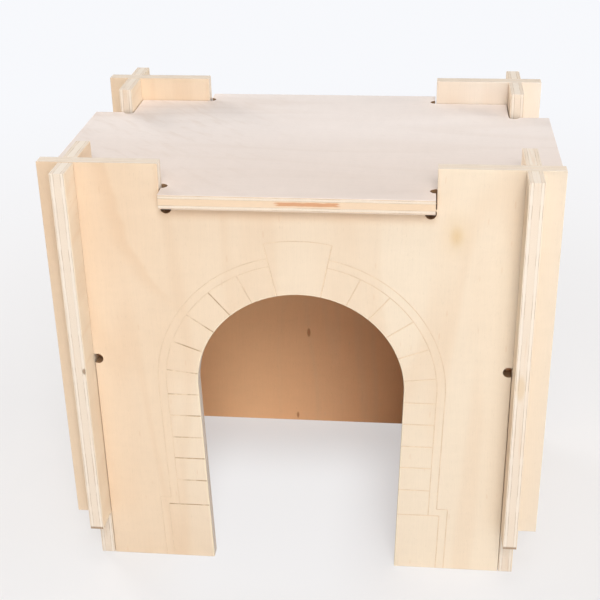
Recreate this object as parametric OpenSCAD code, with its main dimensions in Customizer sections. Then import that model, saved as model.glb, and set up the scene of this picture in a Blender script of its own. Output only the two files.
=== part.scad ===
// Rabbit hideout castle: five plywood panels that push together without fasteners.
// Front and back panels drop over the side panels at four crossed corner joints.
// A roof plate lies between the merlons, with a tab in the notch of each wall.
// The front is on the negative Y side, and the floor is at Z = 0.

/* [Overall] */
// Width of the front and back panels
front_width = 406; // [360:1:460]
// Length of the side panels from front to back
side_length = 300; // [260:1:400]
// Height of all four walls, to the tops of the merlons
wall_height = 376; // [330:1:420]
// Thickness of the plywood
ply = 12; // [9:0.5:15]

/* [Corner joints] */
// How far the front and back panels reach past the side panels
wing = 18; // [12:1:26]
// How far the side panels reach past the front and back panels
strip = 26; // [18:1:34]
// Height of the closed end of the front and back panels' slots
slot_height = 207; // [170:1:240]
// Clearance on each side of a panel in its slot, and at the slot's end
slot_gap = 0.5; // [0.2:0.1:0.8]
// Height of the cut under the outer ends of every wall
foot_cut = 45; // [20:1:60]

/* [Roof] */
// Height of the merlons above the top of the roof
merlon_rise = 21; // [10:1:30]
// Width of the roof's front and back tabs
front_tab = 213; // [160:1:240]
// Width of the roof's side tabs
side_tab = 144; // [100:1:170]
// How far the front and back tabs reach past the outer faces of the walls
front_reach = 11; // [4:1:22]
// How far the side tabs reach past the outer faces of the walls
side_reach = 23; // [4:1:30]
// Clearance between a tab's edge and the side of its notch
tab_gap = 1; // [0.5:0.1:2.5]
// Clearance between the roof plate and the inner faces of the walls
roof_gap = 0.8; // [0.3:0.1:2]

/* [Relief holes] */
// Diameter of the round holes cut at the inner corners of slots and notches
relief_d = 9; // [6:0.5:11]
// How far a relief hole reaches past the edge that it clears
relief_bite = 8; // [5:0.5:8.5]
// How far the slot's relief hole reaches past the slot's inner wall
slot_bite = 7; // [4:0.5:8]

/* [Doorway] */
// Width of the doorway at the foot of its round arch
door_width = 172; // [140:1:190]
// Width of the doorway at the floor, a little narrower than the arch
door_foot = 162; // [130:1:190]
// Height of the centre of the round arch
door_spring = 181; // [140:1:205]

/* [Hidden] */
// Colours of the bare birch faces
front_tone = [0.90, 0.79, 0.62];
side_tone = [0.92, 0.83, 0.68];
roof_tone = [0.90, 0.84, 0.78];
// Outer and inner faces of the side panels, and of the front and back panels
side_out = front_width / 2 - wing;
side_in = side_out - ply;
front_out = side_length / 2 - strip;
front_in = front_out - ply;
// Underside and top of the roof plate
notch_z = wall_height - merlon_rise - ply;
roof_top = notch_z + ply;
// Overshoot that takes every cut cleanly past an edge
past = 2;
arch_fn = 120;
hole_fn = 48;

// Repeats its children on both sides of a panel's middle
module both_ends() {
    for (side = [0, 1])
        mirror([side, 0])
            children();
}

// Round relief hole in a panel's own plane
module relief(at) {
    translate(at)
        circle(d = relief_d, $fn = hole_fn);
}

// A wall before its slots: a plate with a roof notch between two merlons
// The notch has a relief hole below each of its corners
module wall_blank(length, tab) {
    notch = tab + 2 * tab_gap;
    difference() {
        translate([-length / 2, 0])
            square([length, wall_height]);
        translate([-notch / 2, notch_z])
            square([notch, wall_height - notch_z + past]);
        both_ends()
            relief([notch / 2 - relief_d / 2, notch_z - relief_bite + relief_d / 2]);
    }
}

// Front and back walls: slots open at the floor, with the outer end cut short
module cross_wall() {
    slot = ply + 2 * slot_gap;
    difference() {
        wall_blank(front_width, front_tab);
        both_ends() {
            translate([side_in - slot_gap, -past])
                square([slot, slot_height + past]);
            translate([side_in - slot_gap, -past])
                square([wing + ply + slot_gap + past, foot_cut + past]);
            relief([side_in - slot_gap - slot_bite + relief_d / 2, slot_height - relief_d / 2]);
        }
    }
}

// Side walls: slots open at the top, and feet flush with the front and back walls
module long_wall() {
    slot = ply + 2 * slot_gap;
    slot_floor = slot_height - slot_gap;
    difference() {
        wall_blank(side_length, side_tab);
        both_ends() {
            translate([front_in - slot_gap, slot_floor])
                square([slot, wall_height - slot_floor + past]);
            translate([front_out, -past])
                square([strip + past, foot_cut + past]);
            relief([front_in - slot_gap - slot_bite + relief_d / 2, slot_floor + relief_d / 2]);
        }
    }
}

// Doorway: straight jambs that open a little upwards into a round arch
module doorway() {
    translate([0, door_spring])
        circle(d = door_width, $fn = arch_fn);
    slope = (door_width - door_foot) / 2 / door_spring;
    polygon([
        [-door_foot / 2 + slope * past, -past],
        [door_foot / 2 - slope * past, -past],
        [door_width / 2, door_spring],
        [-door_width / 2, door_spring]
    ]);
}

// Stands a flat outline up across the object, from face y to the back of its ply
module stand_across(y) {
    translate([0, y + ply, 0])
        rotate([90, 0, 0])
            linear_extrude(height = ply)
                children();
}

// Stands a flat outline up along the object, from face x outwards in X
module stand_along(x) {
    translate([x, 0, 0])
        rotate([90, 0, 90])
            linear_extrude(height = ply)
                children();
}

module front_panel() {
    color(front_tone)
        stand_across(-front_out)
            difference() {
                cross_wall();
                doorway();
            }
}

module back_panel() {
    color(front_tone)
        stand_across(front_in)
            cross_wall();
}

module left_panel() {
    color(side_tone)
        stand_along(-side_out)
            long_wall();
}

module right_panel() {
    color(side_tone)
        stand_along(side_in)
            long_wall();
}

// Half sizes of the roof's body and of its tabs
roof_x = side_in - roof_gap;
roof_y = front_in - roof_gap;

// Roof outline: a plate with square corners cut out, which leaves four tabs
// A relief hole bites into each tab where it leaves the plate
module roof_outline() {
    difference() {
        union() {
            square([2 * roof_x, 2 * roof_y], center = true);
            square([front_tab, 2 * (front_out + front_reach)], center = true);
            square([2 * (side_out + side_reach), side_tab], center = true);
        }
        for (side = [0, 1])
            mirror([side, 0])
                both_tab_reliefs();
    }
}

// Relief holes beside the tabs of one half of the roof
module both_tab_reliefs() {
    for (end = [0, 1])
        mirror([0, end]) {
            relief([front_tab / 2, roof_y + relief_d / 2]);
            relief([roof_x + relief_d / 2, side_tab / 2]);
        }
}

module roof_panel() {
    color(roof_tone)
        translate([0, 0, notch_z])
            linear_extrude(height = ply)
                roof_outline();
}

front_panel();
back_panel();
left_panel();
right_panel();
roof_panel();
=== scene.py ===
"""Looks of a rabbit hideout castle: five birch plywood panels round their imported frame.

Every panel is a copy of its CAD node with sanded edges and a plywood finish.
The front wall also gets the engraved stones of its arch.
"""

import math

import bpy
from bpy.props import FloatProperty, FloatVectorProperty, IntProperty, PointerProperty
from mathutils import Matrix, Vector


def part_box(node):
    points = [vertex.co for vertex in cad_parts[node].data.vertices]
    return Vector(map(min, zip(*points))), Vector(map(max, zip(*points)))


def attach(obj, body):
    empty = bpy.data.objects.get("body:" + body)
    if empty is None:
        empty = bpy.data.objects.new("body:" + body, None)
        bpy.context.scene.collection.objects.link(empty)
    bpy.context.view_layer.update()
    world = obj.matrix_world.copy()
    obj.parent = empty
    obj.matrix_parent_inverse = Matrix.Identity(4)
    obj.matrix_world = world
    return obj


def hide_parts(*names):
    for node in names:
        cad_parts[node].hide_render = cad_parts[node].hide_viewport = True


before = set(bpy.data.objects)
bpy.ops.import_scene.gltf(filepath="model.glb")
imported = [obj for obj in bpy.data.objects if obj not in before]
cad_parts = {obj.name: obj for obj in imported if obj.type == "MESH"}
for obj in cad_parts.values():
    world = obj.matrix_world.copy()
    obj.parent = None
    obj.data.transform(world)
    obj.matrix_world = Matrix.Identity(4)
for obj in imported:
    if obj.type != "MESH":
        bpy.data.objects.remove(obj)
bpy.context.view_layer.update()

bl_info = {
    "name": "Rabbit Hideout Castle",
    "version": (1, 0, 0),
    "blender": (4, 5, 0),
    "location": "3D View > Sidebar > Hideout",
    "description": "Dresses the five plywood panels of a flat-pack castle for a rabbit",
    "category": "Object",
}

MM = 0.001
FRONT_LOW, FRONT_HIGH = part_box("front_panel")
SIDE_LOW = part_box("right_panel")[0]
ROOF_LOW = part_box("roof_panel")[0]
PLY = FRONT_HIGH.y - FRONT_LOW.y
# The middle of the grooves' bars, just in front of the wall so that no edge lies in its face
GROOVE_Y = FRONT_LOW.y - 0.00003
# Heights of the stones' joints on the legs of the doorway
LEG_JOINTS = (0.1705, 0.1495, 0.1275, 0.106, 0.083, 0.057)
# Middles of the relief holes in millimetres: how far from the wall's middle, and how high
CROSS_WALL_HOLES = ((103.0, 339.5), (170.0, 202.5))
SIDE_WALL_HOLES = ((68.5, 339.5), (109.0, 211.0))
# The roof's are measured from its middle along X and along Y
ROOF_HOLES = ((106.5, 115.7), (176.7, 72.0))
AXES = {"x": 0, "y": 1, "z": 2}


# Settings that a user would change

def length(name, description, default, low=0.0, high=5.0):
    """A length property in metres."""
    return FloatProperty(name=name, description=description, default=default, min=low, max=high,
                         unit="LENGTH", precision=5)


def angle(name, description, degrees):
    """An angle property, given in degrees."""
    return FloatProperty(name=name, description=description, default=math.radians(degrees),
                         unit="ROTATION", precision=4)


def share(name, description, default, high=1.0):
    """A plain share or strength."""
    return FloatProperty(name=name, description=description, default=default, min=0.0, max=high,
                         precision=3)


def colour(name, description, default):
    """A linear colour property."""
    return FloatVectorProperty(name=name, description=description, default=default, size=3,
                               subtype="COLOR", min=0.0, max=1.0)


def direction(name, description, default):
    """A way towards something, of any length."""
    return FloatVectorProperty(name=name, description=description, default=default, size=3,
                               subtype="DIRECTION")


class StageSettings(bpy.types.PropertyGroup):
    """Floor, light and camera."""

    camera_place: FloatVectorProperty(
        name="Camera Place", description="Where the camera stands", size=3,
        default=(0.092838, -0.958888, 0.680137), subtype="TRANSLATION", unit="LENGTH")
    camera_turn: angle("Camera Turn", "How far the camera looks to the left", 6.2588)
    camera_dip: angle("Camera Dip", "How far the camera looks down", 26.4173)
    camera_roll: angle("Camera Roll", "How far the camera leans", -1.1008)
    lens: FloatProperty(name="Lens", description="Focal length on a 36 mm sensor",
                        default=70.2436, min=10.0, unit="CAMERA")
    floor_size: length("Floor Size", "Side of the floor", 14.0, 1.0, 60.0)
    near_floor: length("Near Floor", "Round this distance the floor starts to turn plain", 0.30)
    far_floor: length("Far Floor", "Beyond this distance the floor is plain", 0.85)
    floor_tone: colour("Floor Tone", "Colour of the floor", (0.80, 0.79, 0.79))
    near_tone: colour("Near Tone", "Plain colour of the floor near the object",
                      (0.895, 0.88, 0.88))
    backdrop_tone: colour("Backdrop Tone", "Plain colour seen behind the object",
                          (0.935, 0.945, 0.975))
    shadow_lift: share("Shadow Lift", "How much of the near floor is the plain tone", 0.60)
    # Painted light: a brighter glowing patch on the floor in the doorway and the cabin's middle
    cabin_lift: share("Cabin Lift", "More of the plain tone in the middle of the cabin", 0.85)
    cabin_shade: share("Cabin Shade", "Less of the plain tone in the rest of the cabin", 0.06)
    sky_level: share("Sky Level", "Even light from all round", 0.28, 5.0)
    lamp_size: length("Lamp Size", "Side of each lamp but the broad one", 0.85)
    lamp_reach: length("Lamp Reach", "Distance of each lamp", 2.7)
    key_level: share("Key Level", "Light of the front lamp on a face turned to it", 0.42, 5.0)
    key_way: direction("Key Way", "Direction towards the front lamp", (0.15, -1.0, 0.84))
    fill_level: share("Fill Level", "Light of the broad front lamp on a face turned to it",
                      0.22, 5.0)
    fill_way: direction("Fill Way", "Direction towards the broad front lamp", (0.34, -1.0, 0.30))
    fill_size: length("Fill Size", "Side of the broad front lamp", 1.5)
    top_level: share("Top Level", "Light of the top lamp on a face turned to it", 0.22, 5.0)
    top_way: direction("Top Way", "Direction towards the top lamp", (0.05, -0.30, 1.0))
    side_level: share("Side Level", "Light of the side lamp on a face turned to it", 0.35, 5.0)
    side_way: direction("Side Way", "Direction towards the side lamp", (1.0, -0.03, 0.25))
    back_level: share("Back Level", "Light of the back lamp on a face turned to it", 0.58, 5.0)
    back_way: direction("Back Way", "Direction towards the back lamp", (-0.8, 0.8, 0.30))


class PlySettings(bpy.types.PropertyGroup):
    """Shape of the sanded edges and tones of the plywood."""

    sanded: length("Sanded Edge", "Width of the sanded edges", 0.0005)
    eased: length("Eased Doorway", "Width of the eased edge round the doorway", 0.0010)
    face_tone: colour("Face Tone", "Bare birch on the walls", (0.800, 0.630, 0.460))
    pale_tone: colour("Pale Tone", "Whiter sapwood in the birch", (0.825, 0.695, 0.540))
    # Also the colour of the painted shadow under the roof's tab
    warm_tone: colour("Warm Tone", "Heartwood and mineral streaks in the birch",
                      (0.70, 0.47, 0.29))
    honey_tone: colour("Honey Tone", "Faint knots and yellow stains", (0.66, 0.44, 0.19))
    # Partly paler sanded birch, partly a painted highlight along the doorway's eased edge
    sanded_and_highlight_tone: colour("Fresh Tone", "Paler birch that sanding laid bare round the doorway",
                       (0.90, 0.78, 0.58))
    # Painted light: a paler tone standing in for light from the right on the doorway's cut faces
    jamb_light_tone: colour("Jamb Tone", "Freshly sanded plies round the doorway", (0.96, 0.88, 0.79))
    # Real voids in the core, and painted shade in the relief holes and under the strips' ends
    void_and_shade_tone: colour("Bark Tone", "Small voids, scorched holes and scorched ends",
                      (0.27, 0.155, 0.075))
    wing_tone: colour("Wing Tone", "Duller birch on the right wing", (0.757, 0.645, 0.515))
    back_pale: colour("Back Pale", "Whiter sapwood of the back wall", (0.835, 0.735, 0.630))
    # Painted bounce light: the redder, darker tone of light bouncing round inside the cabin
    cabin_bounce_tone: colour("Inner Tone", "Redder birch on the back wall's face towards the cabin",
                       (0.88, 0.490, 0.26))
    # Painted bounce light on the other faces towards the cabin
    side_bounce_tone: colour("Side Inner Tone", "Birch on the other faces towards the cabin",
                       (0.85, 0.61, 0.40))
    # Painted light that falls through the doorway onto the back wall's inner face
    cabin_light_tone: colour("Inner Pale", "Lighter part of the back wall's inner face",
                       (0.97, 0.59, 0.325))
    roof_tone: colour("Roof Tone", "Paler, greyer birch on the roof", (0.785, 0.675, 0.605))
    roof_pale: colour("Roof Pale Tone", "Whiter birch towards the roof's back", (0.90, 0.815, 0.765))
    roof_warm: colour("Roof Warm Tone", "Darker figure on the roof", (0.72, 0.595, 0.51))
    side_ply: colour("Long Grain", "Ply edge cut along its grain", (0.850, 0.745, 0.630))
    end_ply: colour("End Grain", "Ply edge cut across its grain", (0.810, 0.685, 0.556))
    core_ply: colour("Core", "Tan core and faces of the roof's edge", (0.800, 0.610, 0.430))
    glue_tone: colour("Glue Line", "Line of glue between two plies", (0.50, 0.36, 0.24))
    mark_tone: colour("Mark Tone", "Brown marks inside the back wall", (0.50, 0.22, 0.10))
    amber_tone: colour("Amber Tone", "Amber runs and stains in the core", (0.62, 0.28, 0.13))
    # Partly real browning, partly painted shade in the grooves
    scorch_and_shade_tone: colour("Engraved Line", "Browned bottom of the engraved lines",
                        (0.47, 0.32, 0.19))
    face_ply: length("Face Veneer", "Thickness of the two outer veneers", 0.0010)
    inner_ply: length("Inner Veneer", "Thickness of the two veneers under the faces", 0.0022)


class StoneSettings(bpy.types.PropertyGroup):
    """Engraved outline of the stones round the doorway."""

    spring: length("Spring Height", "Height of the centre of the arch", 0.181)
    doorway: length("Doorway Radius", "Radius of the doorway's arch", 0.086)
    inner_line: length("Inner Line", "Radius of the line round the stones", 0.113)
    outer_line: length("Outer Line", "Radius of the second line round the stones", 0.120)
    key_line: length("Keystone Top", "Radius of the keystone's top", 0.133)
    stone_step: angle("Stone Step", "Angle that one stone takes", 14.3)
    key_half: angle("Keystone Half", "Half the angle that the keystone takes", 11.8)
    stones: IntProperty(name="Stones", description="Joints on each side above the spring",
                        default=6, min=1, max=12)
    lean: length("Lean", "How much nearer the lines stand at the floor", 0.005)
    plinth_top: length("Plinth Top", "Height of the wider stones at the floor", 0.057)
    plinth_out: length("Plinth Reach", "How far the plinth stands outside the legs", 0.0095)
    joint_reach: length("Joint Reach", "Half width of the stones' joints", 0.00060)
    line_reach: length("Line Reach", "Half width of the lines round them", 0.00045)
    flatness: share("Flatness", "Depth of an engraved line as a share of its half width", 0.6)


# Shader maths

class Wire:
    """A socket's value. Arithmetic on it adds the Math nodes."""

    def __init__(self, finish, socket):
        self.finish, self.socket = finish, socket

    def maths(self, operation, *values):
        return self.finish.node("ShaderNodeMath", {"operation": operation},
                                dict(enumerate(values)))

    def __add__(self, other):
        return self.maths("ADD", self, other)

    def __radd__(self, other):
        return self.maths("ADD", other, self)

    def __sub__(self, other):
        return self.maths("SUBTRACT", self, other)

    def __rsub__(self, other):
        return self.maths("SUBTRACT", other, self)

    def __mul__(self, other):
        return self.maths("MULTIPLY", self, other)

    def __truediv__(self, other):
        return self.maths("DIVIDE", self, other)

    def __pow__(self, other):
        return self.maths("POWER", self, other)

    def __gt__(self, other):
        return self.maths("GREATER_THAN", self, other)

    def __abs__(self):
        return self.maths("ABSOLUTE", self)

    def at_least(self, low):
        return self.maths("MAXIMUM", self, low)


class Finish:
    """Nodes of a material or a world. Every one comes from node(); the rest are short names."""

    def __init__(self, owner):
        owner.use_nodes = True
        self.owner = owner
        self.tree = owner.node_tree
        self.tree.nodes.clear()

    def node(self, kind, settings=None, sockets=None, output=0):
        """Adds a node with its settings and its inputs, and gives one of its outputs."""
        made = self.tree.nodes.new(kind)
        for name, value in (settings or {}).items():
            setattr(made, name, value)
        for name, value in (sockets or {}).items():
            if isinstance(value, Wire):
                self.tree.links.new(value.socket, made.inputs[name])
            else:
                made.inputs[name].default_value = value
        return Wire(self, made.outputs[output]) if made.outputs else None

    def place(self):
        """Object coordinates in millimetres, as x, y and z."""
        metres = self.node("ShaderNodeTexCoord", output="Object")
        scaled = self.node("ShaderNodeVectorMath", {"operation": "SCALE"},
                           {0: metres, "Scale": 1 / MM})
        return [self.node("ShaderNodeSeparateXYZ", None, {0: scaled}, i) for i in range(3)]

    def point(self, x, y, z):
        return self.node("ShaderNodeCombineXYZ", None, {0: x, 1: y, 2: z})

    def noise(self, point, detail=1.0, roughness=0.5):
        """Soft noise, one lump per unit of the point, about 0 to 1."""
        return self.node("ShaderNodeTexNoise", None,
                         {"Vector": point, "Scale": 1.0, "Detail": detail,
                          "Roughness": roughness})

    def between(self, value, low, high):
        """0 below low, 1 above high, smooth between; low may be the greater."""
        return self.node("ShaderNodeMapRange", {"interpolation_type": "SMOOTHSTEP"},
                         {"Value": value, "From Min": low, "From Max": high})

    def band(self, value, start, full, fade, end):
        """1 from full to fade, 0 below start and above end, smooth between."""
        return self.between(value, start, full) * self.between(value, end, fade)

    def mix(self, mask, a, b):
        """Colour a where the mask is 0 and b where it is 1."""
        a, b = (c if isinstance(c, Wire) else (*c, 1.0) for c in (a, b))
        return self.node("ShaderNodeMix", {"data_type": "RGBA"}, {0: mask, 6: a, 7: b}, 2)

    def dim(self, tone, factor):
        """A colour made lighter or darker by a value."""
        return self.node("ShaderNodeVectorMath", {"operation": "SCALE"},
                         {0: tone, "Scale": factor})

    def bump(self, height, distance, strength=1.0):
        return self.node("ShaderNodeBump", None,
                         {"Height": height, "Distance": distance, "Strength": strength})

    def wood(self, tone, roughness, normal, specular=0.25):
        """Ends the material in bare wood."""
        surface = self.node("ShaderNodeBsdfPrincipled", None,
                            {"Base Color": tone, "Roughness": roughness, "Normal": normal,
                             "Specular IOR Level": specular})
        self.node("ShaderNodeOutputMaterial", None, {"Surface": surface})
        return self.owner


def birch_face(name, across, along, tones, seed, middle, inward, inner, marks):
    """Rotary-cut birch veneer on both faces of a panel, its grain running along an axis.

    tones are the main, pale and warm tone. middle is the sheet's middle on the axis through
    it and inward the way to the cabin. inner is the tone of that face, below the roof: painted
    warm light that bounces round inside the cabin. marks gives the share of pale wood, and pairs
    of a mask and its colour.
    """
    f = Finish(bpy.data.materials.new(name))
    xyz = f.place()
    u, v = xyz[AXES[across]], xyz[AXES[along]]
    depth = xyz[3 - AXES[across] - AXES[along]]
    far_side = depth > middle / MM
    inside = far_side if inward > 0 else 1 - far_side
    for value, limit in zip(xyz, (SIDE_LOW.x + PLY / 2, FRONT_LOW.y + PLY / 2, ROOF_LOW.z)):
        limit = abs(limit) / MM
        inside = inside * f.between(abs(value), limit + 1.5, limit - 1.5)

    # Each face of each sheet takes its figure from a layer of its own
    layer = far_side * 37.0 + seed * 11.3
    drift = f.noise(f.point(u / 150, v / 420, layer), 2.0)
    sway = f.noise(f.point(u / 38, v / 95, layer + 4), 1.0)
    bent = u + (drift - 0.5) * 46.0 + (sway - 0.5) * 7.0

    def figure(wide, long, offset, detail=1.0, roughness=0.5):
        """Noise along the bent grain, its lumps so many millimetres wide and long."""
        return f.noise(f.point(bent / wide, v / long, layer + offset), detail, roughness)

    mottle = figure(75, 330, 9, 2.0)
    broad = figure(170, 600, 13, 0.0)
    rings = figure(62, 560, 17) * 11.0
    late = f.between(rings.maths("PINGPONG", rings, 1.0), 0.55, 0.98)
    fibre = figure(1 / 1.3, 26, 23, 3.0, 0.6)
    curl = figure(19, 6.5, 31, 2.0)
    pore = f.between(figure(1 / 3.4, 4.2, 41), 0.66, 0.76)
    cells = f.node("ShaderNodeTexVoronoi", None,
                   {"Vector": f.point(bent / 7.5, v / 34, layer + 53), "Scale": 1.0})
    fleck = f.between(cells, 0.12, 0.06)

    main, pale, warm = tones
    pale_share, spots = marks(f, u, v, inside, f.between(broad, 0.34, 0.62))
    stain = f.between(mottle, 0.45, 0.82) * 0.32 + late * 0.16 + fleck * 0.22
    tone = f.mix(pale_share, main, pale)
    # Painted bounce light on the faces towards the cabin, below the roof
    tone = f.mix(inside, tone, inner)
    tone = f.mix(stain, tone, warm)
    for mask, colour_there in spots:
        tone = f.mix(mask, tone, colour_there)
    tone = f.dim(tone, 1.0 + (fibre - 0.5) * 0.075 + (curl - 0.5) * 0.045 - pore * 0.08)
    rough = 0.62 + (fibre - 0.5) * 0.16 - late * 0.05
    relief = fibre * 0.6 + curl * 0.3 - pore * 0.8
    return f.wood(tone, rough, f.bump(relief, distance=0.00012, strength=0.6))


def ply_edge(name, thick, start, grain, seed, marks, tones=None):
    """Five plies seen on the cut edges of a panel.

    thick is the axis through the sheet, start its lower face and grain the faces' grain axis.
    marks gives pairs of a mask and its colour. tones are of plies cut along and across.
    """
    s = bpy.context.scene.hideout_ply
    f = Finish(bpy.data.materials.new(name))
    xyz = f.place()
    deep = xyz[AXES[thick]] - start / MM
    normal = f.node("ShaderNodeTexCoord", output="Normal")
    along_grain = f.node("ShaderNodeSeparateXYZ", None, {0: normal}, AXES[grain])
    a, b = (xyz[AXES[axis]] for axis in "xyz" if axis != thick)
    end_on = along_grain * along_grain

    wander = f.noise(f.point(a / 26, b / 26, seed * 7.1), 2.0)
    wave = f.noise(f.point(a / 7, b / 7, seed * 3.3), 1.0)
    deep = deep + (wander - 0.5) * 0.75 + (wave - 0.5) * 0.22
    half = PLY / MM / 2
    from_face = half - abs(deep - half)
    thin, next_ply = s.face_ply / MM, (s.face_ply + s.inner_ply) / MM
    cross = f.between(from_face, thin - 0.05, thin + 0.05)
    cross = cross - f.between(from_face, next_ply - 0.06, next_ply + 0.06)
    end = end_on * (1 - cross) + (1 - end_on) * cross

    line = f.between(abs(from_face - thin), 0.28, 0.10)
    line = line + f.between(abs(from_face - next_ply), 0.30, 0.10)
    gap = f.noise(f.point(a / 13, b / 13, seed * 2.3), 2.0)
    fine = [value * 2.4 if axis == thick else value / 5 for axis, value in zip("xyz", xyz)]
    streak = f.noise(f.point(*fine), 3.0, 0.6)
    dots = f.noise(f.point(a * 1.9, b * 1.9, deep * 1.9), 2.0, 0.65)
    ply_tone = f.noise(f.point(a / 45, b / 45, deep / 2.2 + seed * 5.7), 1.0)

    tone = f.mix(end, *(tones or (s.side_ply, s.end_ply)))
    amber = f.between(ply_tone, 0.56, 0.86) * 0.35
    tone = f.mix(amber, tone, s.warm_tone)
    tone = f.mix(line * (f.between(gap, 0.42, 0.62) * 0.55 + 0.22), tone, s.glue_tone)
    for mask, colour_there in marks(f, xyz):
        tone = f.mix(mask, tone, colour_there)
    grainy = (dots - 0.5) * 0.26 * end + (streak - 0.5) * 0.20 * (1 - end)
    tone = f.dim(tone, 1.0 + grainy + (wander - 0.5) * 0.05)
    rough = 0.68 + (dots - 0.5) * 0.2 + line * 0.05
    relief = dots * 0.6 * end + streak * 0.4 - line * 0.5
    return f.wood(tone, rough, f.bump(relief, distance=0.00025, strength=0.7), specular=0.2)


def scorched(name, left, right):
    """Browned bottom of an engraved line, uneven along its length, with one strength on the left
    and one on the right. The change between them is painted shade, after which grooves the light
    leaves dark.
    """
    s = bpy.context.scene.hideout_ply
    f = Finish(bpy.data.materials.new(name))
    x, y, z = f.place()
    patch = f.noise(f.point(x / 11, y / 11, z / 11), 2.0)
    speck = f.noise(f.point(x * 1.7, y * 1.7, z * 1.7), 2.0)
    browning_and_shade = f.between(x, -70.0, -30.0) * (right - left) + left
    browning_and_shade = browning_and_shade * f.between(patch, 0.30, 0.62)
    tone = f.mix(browning_and_shade, s.face_tone, s.scorch_and_shade_tone)
    tone = f.dim(tone, 1.0 + (speck - 0.5) * 0.3)
    rough = 0.72 + (speck - 0.5) * 0.2
    return f.wood(tone, rough, f.bump(speck, distance=0.0002), specular=0.2)


# Marks of single boards. Their places and sizes are in millimetres.

def spot(f, u, v, at, radii, soft=0.5):
    """A soft round or oval mark: 1 in the middle and 0 outside."""
    du = (u - at[0]) / radii[0]
    dv = (v - at[1]) / radii[1]
    far = (du * du + dv * dv) ** 0.5
    return f.between(far, 1.0 + soft, 1.0 - soft)


def front_marks(f, u, v, inside, pale):
    """The front wall's streak, knot, paler parts, painted shadow under the roof's tab, bright rim
    and duller right wing.
    """
    s, stones = bpy.context.scene.hideout_ply, bpy.context.scene.hideout_stones
    outside = 1 - inside
    pale = f.between(u + (pale - 0.5) * 60.0, -185.0, 95.0)

    # A soft curved streak, a warm corner, a painted shadow under the roof's tab, a knot with its
    # halo, and the wing
    drop = (366.0 - v) / 110.0
    way = -148.0 + drop * 21.0 + (drop ** 4.0) * 26.0
    wobble = f.noise(f.point(v / 20, 3.0, 1.0), 2.0)
    off = u - way - (wobble - 0.5) * 12.0
    streak = f.band(off, -16.0, -2.0, -1.0, 4.0) * f.between(v, 240.0, 285.0)
    corner = f.between(u, -90.0, -150.0) * f.between(v, 250.0, 330.0)
    tab_shadow = f.between(v, 327.0, 337.0) * f.between(abs(u), 112.0, 104.0)
    knot = spot(f, u, v, (123.4, 321.0), (4.0, 6.5), 0.9)
    halo = spot(f, u, v, (123.4, 323.0), (9.0, 15.0), 0.9)
    wing = f.between(u, 168.0, 184.0)

    # A bright rim round the doorway, partly paler sanded birch and partly a painted highlight on
    # its eased edge, and paler parts on its left leg
    spring, radius = stones.spring / MM, stones.doorway / MM
    rise = (v - spring).at_least(0.0)
    out = abs(u) + (spring - v).at_least(0.0) * (stones.lean / stones.spring)
    rim = f.between((out * out + rise * rise) ** 0.5, radius + 1.6, radius + 0.6)
    leg = f.between(out, 120.0, 100.0) * f.between(u, 0.0, -60.0) * f.between(v, 205.0, 160.0)
    pale = pale + leg * (1 - pale) * 0.6
    return pale, [((streak * 0.26 + corner * 0.24 + tab_shadow * 0.42) * outside, s.warm_tone),
                  (wing * outside, s.wing_tone),
                  ((knot * 0.38 + halo * 0.20) * outside, s.honey_tone),
                  (rim * outside * 0.7, s.sanded_and_highlight_tone)]


def back_marks(f, u, v, inside, pale):
    """A pin knot near the floor and a short dark streak inside the back wall, and painted light on
    the left of its inner face.
    """
    s = bpy.context.scene.hideout_ply
    knot = spot(f, u, v, (-29.0, 6.5), (1.3, 3.4))
    dash = spot(f, u, v, (-16.0, 107.5), (1.7, 4.8), 0.3)
    pale = f.between(u + (pale - 0.5) * 60.0, -140.0, 180.0)
    # Painted light: the inner face is lighter towards the left, where light through the doorway
    # falls
    glow = f.between(u, 50.0, -115.0) * inside
    return pale, [(glow, s.cabin_light_tone), ((knot + dash) * inside * 0.9, s.mark_tone)]


def strip_marks(f, u, v, inside, pale):
    """Whiter wood on the side walls' strips, outside the front and back walls."""
    strip = f.between(abs(v), FRONT_HIGH.y / -MM, FRONT_LOW.y / -MM)
    return pale + strip * (1 - pale), []


def roof_marks(f, u, v, inside, pale):
    """Whiter towards the back, and curly figure across the grain on the left."""
    s = bpy.context.scene.hideout_ply
    curly = f.noise(f.point((v + u) / 13, (v - u) / 60, 8.0), 2.0)
    curly = f.between(curly, 0.48, 0.72) * f.between(v, 20.0, -120.0)
    return f.between(u + (pale - 0.5) * 90.0, -60.0, 150.0), [(curly * 0.35, s.roof_warm)]


def shaded_scorched_holes(f, across, along, places):
    """Brown cut faces in the round relief holes, which lie alike on both sides of the middle: partly
    scorch from the cutter and partly painted shade in the narrow holes.
    """
    across, along, mask = abs(across), abs(along), 0.0
    for place in places:
        mask = mask + spot(f, across, along, place, (6.0, 6.0), 0.15)
    return mask * 0.95, bpy.context.scene.hideout_ply.void_and_shade_tone


def front_end(xyz, low):
    """1 on the cut edge that faces the front, given its panel's low corner."""
    return 1 - (xyz[1] > (low.y + 0.002) / MM)


def cross_wall_marks(f, xyz):
    """Front and back walls: darkened holes at the notch and at the slots."""
    return [shaded_scorched_holes(f, xyz[0], xyz[2], CROSS_WALL_HOLES)]


def front_edge_marks(f, xyz):
    """The same holes, and painted light: a paler tone on the cut faces round the doorway."""
    # Painted light on the cut faces round the doorway
    doorway = f.between(abs(xyz[0]), 95.0, 88.0) * f.between(xyz[2], 300.0, 280.0)
    return [*cross_wall_marks(f, xyz),
            (doorway * 0.8, bpy.context.scene.hideout_ply.jamb_light_tone)]


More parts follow.
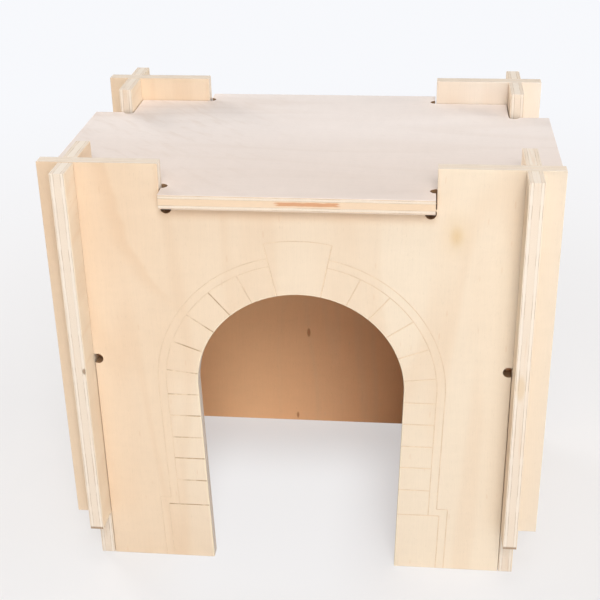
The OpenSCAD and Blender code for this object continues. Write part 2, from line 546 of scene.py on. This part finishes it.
def side_wall_marks(f, xyz, at, radii, strength, tone):
    """Side walls: darkened holes, a painted shadow under the front strip's end and one mark above
    it.
    """
    front = front_end(xyz, SIDE_LOW)
    # Painted shadow: a dark band just under the end of the front strip
    end_shadow = f.between(xyz[2], 48.2, 46.8) * front * 0.75
    return [(end_shadow, bpy.context.scene.hideout_ply.void_and_shade_tone),
            shaded_scorched_holes(f, xyz[1], xyz[2], SIDE_WALL_HOLES),
            (spot(f, xyz[0], xyz[2], at, radii, 0.4) * front * strength, tone)]


def left_edge_marks(f, xyz):
    """A small void in the core."""
    return side_wall_marks(f, xyz, (-174.5, 204.5), (1.6, 2.6), 0.75,
                           bpy.context.scene.hideout_ply.void_and_shade_tone)


def right_edge_marks(f, xyz):
    """A yellow-brown stain."""
    return side_wall_marks(f, xyz, (178.0, 203.0), (3.2, 11.0), 0.35,
                           bpy.context.scene.hideout_ply.honey_tone)


def roof_edge_marks(f, xyz):
    """Darkened holes beside the tabs and an amber run in the core of the front tab."""
    ragged = f.noise(f.point(xyz[0] / 6, xyz[1] / 6, xyz[2] * 1.5), 2.0)
    run = f.between(abs(xyz[2] - 349.3 - (ragged - 0.5) * 1.6), 1.9, 1.1)
    run = run * f.between(abs(xyz[0] - 9.0 - (ragged - 0.5) * 8.0), 26.0, 22.0)
    return [shaded_scorched_holes(f, xyz[0], xyz[1], ROOF_HOLES),
            (run * front_end(xyz, ROOF_LOW) * 0.8, bpy.context.scene.hideout_ply.amber_tone)]


# Modelling

# Corners of the CAD mesh that lie nearer than this are one
WELD = 1e-5
# Faces that bend less than this are one flat side
FLAT = math.radians(0.5)
# Edges of the outline that bend more than this are sanded
SHARP = math.radians(40)
# Corners this near to a right angle are square
SQUARE = math.radians(2)
# Faces that meet at less than this are shaded as one round face
ROUND = math.radians(12)
# The facets of a relief hole are shorter than this
HOLE_FACET = 0.0008
# A normal's share along the sheet's axis above which its face is veneer and not cut edge
VENEER = 0.35
# A bent groove turns by about this much from one straight part to the next
TURN = math.radians(3)


def only(piece):
    """Makes a piece the one selected and active object."""
    bpy.ops.object.select_all(action="DESELECT")
    piece.select_set(True)
    bpy.context.view_layer.objects.active = piece


def in_edit_mode(piece, *steps):
    """Runs mesh operators on a whole piece. A step is an operator's name and its settings."""
    only(piece)
    bpy.ops.object.mode_set(mode="EDIT")
    for name, settings in steps:
        bpy.ops.mesh.select_all(action="SELECT")
        getattr(bpy.ops.mesh, name)(**settings)
    bpy.ops.object.mode_set(mode="OBJECT")


def apply_modifier(piece, kind, **settings):
    """Adds a modifier with its settings and applies it."""
    only(piece)
    modifier = piece.modifiers.new(kind.title(), kind)
    for name, value in settings.items():
        setattr(modifier, name, value)
    bpy.ops.object.modifier_apply(modifier=modifier.name)


def copy_of(node, name):
    """A new piece with a CAD node's shape: one mesh, with each flat side a single face."""
    piece = bpy.data.objects.new(name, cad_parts[node].data.copy())
    bpy.context.scene.collection.objects.link(piece)
    piece.data.name = name
    piece.data.materials.clear()
    only(piece)
    bpy.ops.mesh.customdata_custom_splitnormals_clear()
    in_edit_mode(piece,
                 ("remove_doubles", {"threshold": WELD}),
                 ("dissolve_limited", {"angle_limit": FLAT}))
    return piece


def sand_edges(piece, thick, eased=None):
    """Bevels the panel's edges: the outline, its square corners and, wider, what eased() picks.

    The modifier's width is the wide one, and the weights of the rest are a share of it. Short
    edges belong to a relief hole and get half, so that their bevels don't cross.
    """
    s = bpy.context.scene.hideout_ply
    mesh = piece.data
    sides = {}
    for polygon in mesh.polygons:
        for key in polygon.edge_keys:
            sides.setdefault(key, []).append(polygon.normal)
    weights = mesh.attributes.new("bevel_weight_edge", "FLOAT", "EDGE")
    plain = s.sanded / s.eased
    for edge in mesh.edges:
        a, b = sides[tuple(sorted(edge.vertices))]
        bend = a.angle(b)
        outline = max(abs(a[AXES[thick]]), abs(b[AXES[thick]])) > VENEER
        ends = [mesh.vertices[i].co for i in edge.vertices]
        weight = 0.0
        if outline and bend > SHARP:
            short = (ends[0] - ends[1]).length < HOLE_FACET
            weight = plain * (0.5 if short else 1.0)
            if eased and all(eased(end) for end in ends):
                weight = 1.0
        elif abs(bend - math.pi / 2) < SQUARE:
            weight = plain
        weights.data[edge.index].value = weight
    apply_modifier(piece, "BEVEL", width=s.eased, segments=2, limit_method="WEIGHT",
                   use_clamp_overlap=False, offset_type="OFFSET")


def sanded_copy(node, name, thick, face, edge, eased=None):
    """A copy of a CAD node with sanded edges and two materials, of its faces and its edges."""
    piece = copy_of(node, name)
    sand_edges(piece, thick, eased)
    piece.data.materials.append(face)
    piece.data.materials.append(edge)
    return piece


def hand_over(piece, thick, body, node):
    """Shares out the two materials, smooths the arcs and hands the piece to the frame."""
    for polygon in piece.data.polygons:
        engraved = polygon.material_index > 1
        if not engraved:
            veneer = abs(polygon.normal[AXES[thick]]) > VENEER
            polygon.material_index = 0 if veneer else 1
    only(piece)
    bpy.ops.object.shade_smooth_by_angle(angle=ROUND)
    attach(piece, body)
    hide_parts(node)


def straight_groove(start, end, reach, material):
    """A square bar on its corner, half sunk in the front face, from start to end as (x, z)."""
    run = Vector((end[0] - start[0], end[1] - start[1]))
    bpy.ops.mesh.primitive_cylinder_add(
        vertices=4, radius=reach, depth=run.length,
        location=((start[0] + end[0]) / 2, GROOVE_Y, (start[1] + end[1]) / 2),
        rotation=(0, math.atan2(run.x, run.y), 0))
    bpy.context.object.data.materials.append(material)
    return bpy.context.object


def round_groove(radius, start, sweep, reach, material):
    """The same bar bent round the arch's centre, from a start angle through a sweep."""
    s = bpy.context.scene.hideout_stones
    centre = Vector((0, GROOVE_Y, s.spring))
    out = Vector((math.cos(start), 0, math.sin(start)))
    bpy.ops.mesh.primitive_circle_add(
        vertices=4, radius=reach, fill_type="NGON", location=centre + out * radius,
        rotation=(0, -start, 0))
    bar = bpy.context.object
    bar.data.transform(bar.matrix_world)
    bar.matrix_world = Matrix.Identity(4)
    steps = max(2, round(abs(sweep) / TURN))
    in_edit_mode(bar,
                 ("spin", {"steps": steps, "angle": sweep, "center": centre,
                           "axis": (0, 1, 0)}),
                 ("remove_doubles", {"threshold": 1e-6}),
                 ("fill_holes", {"sides": 4}),
                 ("normals_make_consistent", {"inside": False}))
    bar.data.materials.append(material)
    return bar


def engrave_stones(wall):
    """Cuts the joints, the two lines round them and the keystone into the front face."""
    s = bpy.context.scene.hideout_stones
    # The left and right strengths are painted shade: joints darker on the left, lines on the right
    joints = s.joint_reach, scorched("front_wall_joints", 0.9, 0.15)
    lines = s.line_reach, scorched("front_wall_lines", 0.15, 0.25)
    # The bars start inside the doorway, end below the floor and overlap the bent ones a little
    hole, below, overlap = s.doorway - 0.003, -0.002, 0.0003
    bars = []

    def ring(r, side, height):
        """How far out a line that has radius r in the arch stands on a leg at a height."""
        return side * (r - s.lean * (1 - height / s.spring))

    for side in (-1, 1):
        for i in range(s.stones):
            turn = s.key_half + s.stone_step * i
            way = Vector((side * math.sin(turn), math.cos(turn)))
            start = way * hole + Vector((0, s.spring))
            end = way * (s.key_line if i == 0 else s.inner_line) + Vector((0, s.spring))
            bars.append(straight_groove(start, end, *joints))
        for height in LEG_JOINTS:
            start = (ring(hole, side, height), height)
            out = s.plinth_out if height <= s.plinth_top else 0.0
            bars.append(straight_groove(
                start, (ring(s.inner_line + out, side, height), height), *joints))
        for line in (s.inner_line, s.outer_line):
            low = s.plinth_top + (line - s.inner_line)
            knee = (ring(line, side, low), low)
            foot = (ring(line + s.plinth_out, side, low), low)
            ground = (ring(line + s.plinth_out, side, 0), below)
            bars.append(straight_groove((side * line, s.spring + overlap), knee, *lines))
            bars.append(straight_groove(knee, foot, *lines))
            bars.append(straight_groove(foot, ground, *lines))
            first = 0.0 if side > 0 else math.pi
            bars.append(round_groove(line, first, side * (math.pi / 2 - s.key_half), *lines))
    bars.append(round_groove(s.key_line, math.pi / 2 - s.key_half, 2 * s.key_half, *lines))

    bpy.ops.object.select_all(action="DESELECT")
    for bar in bars:
        bar.select_set(True)
    bpy.context.view_layer.objects.active = bars[0]
    bpy.ops.object.join()
    cutter = bpy.context.object
    bpy.ops.object.transform_apply(location=True, rotation=True, scale=True)
    bpy.ops.object.mode_set(mode="EDIT")
    bpy.ops.mesh.select_all(action="SELECT")
    bpy.ops.transform.resize(value=(1.0, s.flatness, 1.0), center_override=(0.0, GROOVE_Y, 0.0))
    bpy.ops.object.mode_set(mode="OBJECT")
    apply_modifier(wall, "BOOLEAN", operation="DIFFERENCE", solver="EXACT", object=cutter,
                   use_self=True, material_mode="TRANSFER")
    bpy.data.objects.remove(cutter)


# Operators

class HIDEOUT_OT_stage(bpy.types.Operator):
    """Adds the floor, the light and the camera"""

    bl_idname = "hideout.stage"
    bl_label = "Stage"

    def execute(self, context):
        s = context.scene.hideout_stage
        bpy.ops.object.select_all(action="DESELECT")
        bpy.ops.object.camera_add(location=s.camera_place)
        camera = context.object
        turn = (Matrix.Rotation(s.camera_turn, 3, "Z")
                @ Matrix.Rotation(math.pi / 2 - s.camera_dip, 3, "X")
                @ Matrix.Rotation(s.camera_roll, 3, "Z"))
        camera.rotation_euler = turn.to_euler()
        camera.data.sensor_width = 36.0
        camera.data.lens = s.lens
        camera.data.clip_start = 0.01
        context.scene.camera = camera

        self.add_lamp(s, s.key_way, s.key_level, s.lamp_size)
        self.add_lamp(s, s.fill_way, s.fill_level, s.fill_size)
        self.add_lamp(s, s.top_way, s.top_level, s.lamp_size)
        self.add_lamp(s, s.side_way, s.side_level, s.lamp_size)
        self.add_lamp(s, s.back_way, s.back_level, s.lamp_size)
        self.add_floor(s)
        self.light_sky(s)
        context.scene.view_settings.view_transform = "Standard"
        return {"FINISHED"}

    def add_lamp(self, s, way, level, size):
        """A large soft lamp that lights a face turned to it as a white sky of that level would."""
        way = Vector(way).normalized()
        bpy.ops.object.light_add(
            type="AREA", location=Vector((0, 0, FRONT_HIGH.z / 2)) + way * s.lamp_reach)
        lamp = bpy.context.object
        lamp.rotation_euler = way.to_track_quat("Z", "Y").to_euler()
        lamp.data.size = size
        lamp.data.energy = level * (math.pi * s.lamp_reach) ** 2

    def add_floor(self, s):
        """A wide floor whose near part shows the shadows and whose far part is plain.

        x and y are in millimetres, and far is in metres. The bright patch is painted light: it lies
        in the doorway and the middle of the cabin. The room is all that lies between the four walls.
        """
        bpy.ops.object.select_all(action="DESELECT")
        bpy.ops.mesh.primitive_grid_add(x_subdivisions=4, y_subdivisions=4, size=s.floor_size)
        floor = bpy.context.object
        floor.name = "studio_floor"
        f = Finish(bpy.data.materials.new("studio_floor"))
        x, y, _ = f.place()
        far = ((x * x + y * y) ** 0.5) * MM
        # Painted light: a bright patch in the doorway and the middle of the cabin
        bright = f.band(x, -160, -80, 10, 110) * f.band(y, -250, -150, -10, 105)
        room = f.between(abs(x), 185, 150) * f.between(abs(y), 124, 80)
        plain = f.between(far, s.near_floor, s.far_floor) + bright * s.cabin_lift
        lift = s.shadow_lift - room * s.cabin_shade
        plain = plain * (1 - lift) + lift
        backdrop = f.mix(f.between(far, 0.35, 1.5), s.near_tone, s.backdrop_tone)
        path = f.node("ShaderNodeLightPath", output="Is Camera Ray")
        grain = f.noise(f.point(x / 40, y / 40, 0.0), 2.0)
        tone = f.mix(grain * 0.04, s.floor_tone, (0.8, 0.8, 0.8))
        lit = f.node("ShaderNodeBsdfDiffuse", None, {"Color": tone})
        glow = f.node("ShaderNodeEmission", None, {"Color": backdrop, "Strength": 1.0})
        both = f.node("ShaderNodeMixShader", None, {0: plain * path, 1: lit, 2: glow})
        f.node("ShaderNodeOutputMaterial", None, {"Surface": both})
        floor.data.materials.append(f.owner)

    def light_sky(self, s):
        """Even light from all round, which the camera sees as the plain backdrop."""
        world = bpy.data.worlds.new("studio_sky")
        bpy.context.scene.world = world
        f = Finish(world)
        rays = [f.node("ShaderNodeLightPath", output=name)
                for name in ("Is Camera Ray", "Is Glossy Ray", "Is Transmission Ray")]
        seen = rays[0].at_least(rays[1]).at_least(rays[2])
        light = f.node("ShaderNodeBackground", None,
                       {"Color": (1.0, 1.0, 1.0, 1.0), "Strength": s.sky_level})
        plain = f.node("ShaderNodeBackground", None,
                       {"Color": (*s.backdrop_tone, 1.0), "Strength": 1.0})
        both = f.node("ShaderNodeMixShader", None, {0: seen, 1: light, 2: plain})
        f.node("ShaderNodeOutputWorld", None, {"Surface": both})


class HIDEOUT_OT_front_wall(bpy.types.Operator):
    """Dresses the front wall and engraves the stones round its doorway"""

    bl_idname = "hideout.front_wall"
    bl_label = "Front Wall"

    def execute(self, context):
        s, stones = context.scene.hideout_ply, context.scene.hideout_stones

        def round_doorway(corner):
            """Whether a corner of the outline lies on the doorway's edge, or within it."""
            rise = max(corner.z - stones.spring, 0)
            return Vector((corner.x, rise)).length < stones.doorway + 0.5 * MM

        face = birch_face("front_wall", "x", "z", (s.face_tone, s.pale_tone, s.warm_tone), 1.0,
                          FRONT_LOW.y + PLY / 2, 1, s.side_bounce_tone, front_marks)
        edge = ply_edge("front_wall_edge", "y", FRONT_LOW.y, "z", 1.0, front_edge_marks)
        wall = sanded_copy("front_panel", "front_wall", "y", face, edge, round_doorway)
        engrave_stones(wall)
        hand_over(wall, "y", "front", "front_panel")
        return {"FINISHED"}


class HIDEOUT_OT_back_wall(bpy.types.Operator):
    """Dresses the back wall"""

    bl_idname = "hideout.back_wall"
    bl_label = "Back Wall"

    def execute(self, context):
        s = context.scene.hideout_ply
        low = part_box("back_panel")[0]
        face = birch_face("back_wall", "x", "z", (s.face_tone, s.back_pale, s.warm_tone), 2.0,
                          low.y + PLY / 2, -1, s.cabin_bounce_tone, back_marks)
        edge = ply_edge("back_wall_edge", "y", low.y, "z", 2.0, cross_wall_marks)
        wall = sanded_copy("back_panel", "back_wall", "y", face, edge)
        hand_over(wall, "y", "back", "back_panel")
        return {"FINISHED"}


class HIDEOUT_OT_side_walls(bpy.types.Operator):
    """Dresses the two side walls"""

    bl_idname = "hideout.side_walls"
    bl_label = "Side Walls"

    def execute(self, context):
        s = context.scene.hideout_ply
        for name, node, seed, marks in (("left_wall", "left_panel", 3.0, left_edge_marks),
                                        ("right_wall", "right_panel", 4.0, right_edge_marks)):
            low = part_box(node)[0]
            inward = 1 if low.x < 0 else -1
            face = birch_face(name, "z", "y", (s.face_tone, s.pale_tone, s.warm_tone), seed,
                              low.x + PLY / 2, inward, s.side_bounce_tone, strip_marks)
            edge = ply_edge(name + "_edge", "x", low.x, "y", seed, marks)
            wall = sanded_copy(node, name, "x", face, edge)
            hand_over(wall, "x", "sides", node)
        return {"FINISHED"}


class HIDEOUT_OT_roof_plate(bpy.types.Operator):
    """Dresses the roof plate"""

    bl_idname = "hideout.roof_plate"
    bl_label = "Roof Plate"

    def execute(self, context):
        s = context.scene.hideout_ply
        face = birch_face("roof_plate", "y", "x", (s.roof_tone, s.roof_pale, s.roof_warm), 5.0,
                          ROOF_LOW.z + PLY / 2, -1, s.side_bounce_tone, roof_marks)
        edge = ply_edge("roof_plate_edge", "z", ROOF_LOW.z, "x", 5.0, roof_edge_marks,
                        (s.core_ply, s.end_ply))
        plate = sanded_copy("roof_panel", "roof_plate", "z", face, edge)
        hand_over(plate, "z", "roof", "roof_panel")
        return {"FINISHED"}


class HIDEOUT_PT_panel(bpy.types.Panel):
    """Lists the steps in the 3D view's sidebar"""

    bl_label = "Rabbit Hideout Castle"
    bl_idname = "HIDEOUT_PT_panel"
    bl_space_type = "VIEW_3D"
    bl_region_type = "UI"
    bl_category = "Hideout"

    def draw(self, context):
        for group in (context.scene.hideout_stage, context.scene.hideout_ply,
                      context.scene.hideout_stones):
            box = self.layout.box()
            for name in group.bl_rna.properties.keys():
                if name not in {"rna_type", "name"}:
                    box.prop(group, name)
        for step in STEPS:
            self.layout.operator(step.bl_idname)


STEPS = (HIDEOUT_OT_stage, HIDEOUT_OT_front_wall, HIDEOUT_OT_back_wall, HIDEOUT_OT_side_walls,
         HIDEOUT_OT_roof_plate)
GROUPS = {"hideout_stage": StageSettings, "hideout_ply": PlySettings,
          "hideout_stones": StoneSettings}


def register():
    """Registers the settings, the steps and the panel."""
    for kind in (*GROUPS.values(), *STEPS, HIDEOUT_PT_panel):
        bpy.utils.register_class(kind)
    for name, kind in GROUPS.items():
        setattr(bpy.types.Scene, name, PointerProperty(type=kind))


def unregister():
    """Takes them out again."""
    for name in GROUPS:
        delattr(bpy.types.Scene, name)
    for kind in reversed((*GROUPS.values(), *STEPS, HIDEOUT_PT_panel)):
        bpy.utils.unregister_class(kind)


def main():
    """Builds the whole scene."""
    register()
    for step in STEPS:
        family, name = step.bl_idname.split(".")
        getattr(getattr(bpy.ops, family), name)()
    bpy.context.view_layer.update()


if __name__ == "__main__":
    main()
